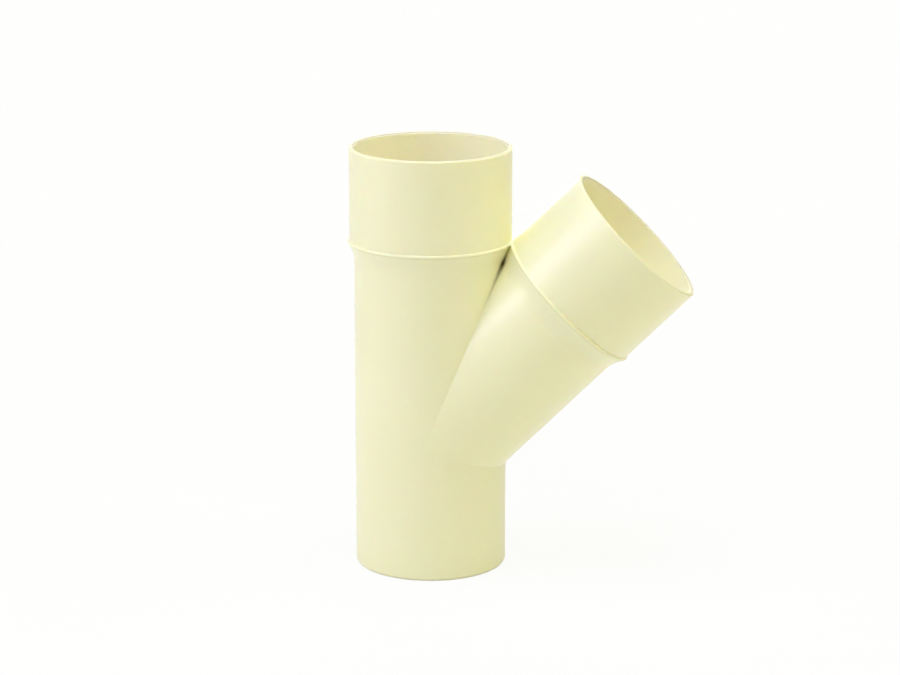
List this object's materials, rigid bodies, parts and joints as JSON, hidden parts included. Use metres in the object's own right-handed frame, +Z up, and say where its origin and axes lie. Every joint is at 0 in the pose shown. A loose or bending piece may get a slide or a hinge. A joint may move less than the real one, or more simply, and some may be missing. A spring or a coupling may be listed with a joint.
{
  "type": "lateral wye fitting",
  "caption": "Cream uPVC 45 degree wye pipe fitting: a straight run with a socket above and a plain spigot below, and a socketed side branch.",
  "frame": {"origin": "centre of the spigot's end face, on the axis of the run", "axes": "+Z up the run's axis from the spigot to the run's socket; the branch leans from +Z towards +X; the XZ plane is the plane of symmetry"},
  "size_m": [0.2496, 0.1198, 0.3095],
  "materials": {
    "upvc": "satin cream uPVC, as moulded"
  },
  "bodies": {
    "root": {"wye_fitting": "upvc"}
  },
  "joints": []
}
